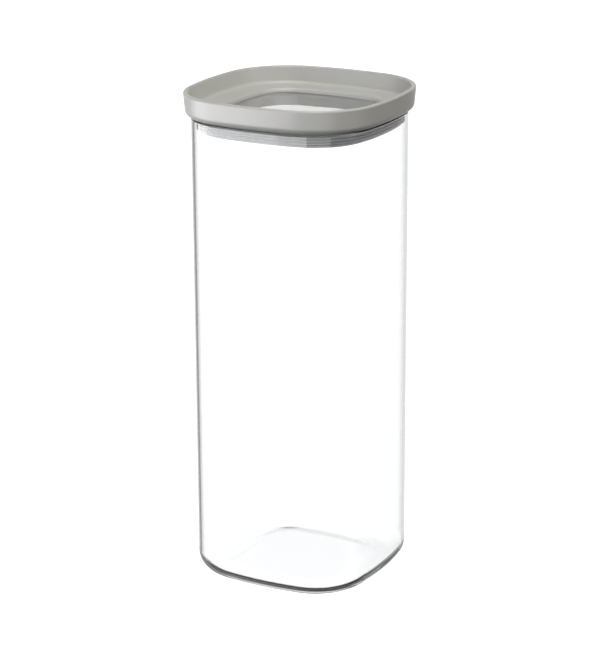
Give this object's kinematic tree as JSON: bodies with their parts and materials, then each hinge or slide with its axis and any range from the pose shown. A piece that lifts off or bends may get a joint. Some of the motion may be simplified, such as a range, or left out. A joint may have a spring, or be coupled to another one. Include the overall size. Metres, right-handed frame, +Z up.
{
  "type": "lidded glass canister",
  "caption": "Tall square glass storage jar with bulging sides and a lift-off plug lid with a clear window and a stacking rim.",
  "frame": {"origin": "centre of the plane that the jar stands on", "axes": "+Z up along the jar's axis, through the lid; the jar's flat sides face X and Y"},
  "size_m": [0.115, 0.115, 0.2733],
  "materials": {
    "clear_glass": "clear, polished, colourless",
    "grey_plastic": "fine satin, warm light grey",
    "clear_plastic": "clear, polished",
    "stopper_plastic": "satin, mid grey",
    "silicone": "soft matt silicone, mid grey"
  },
  "bodies": {
    "jar": {"glass_jar": "clear_glass"},
    "lid": {"lid_frame": "grey_plastic", "window": "clear_plastic", "stopper": "stopper_plastic", "seal": "silicone"}
  },
  "joints": [
    {"name": "lid_lift", "type": "slide", "parent": "jar", "child": "lid", "axis": [0, 0, 1], "range_m": [0, 0.06]}
  ]
}
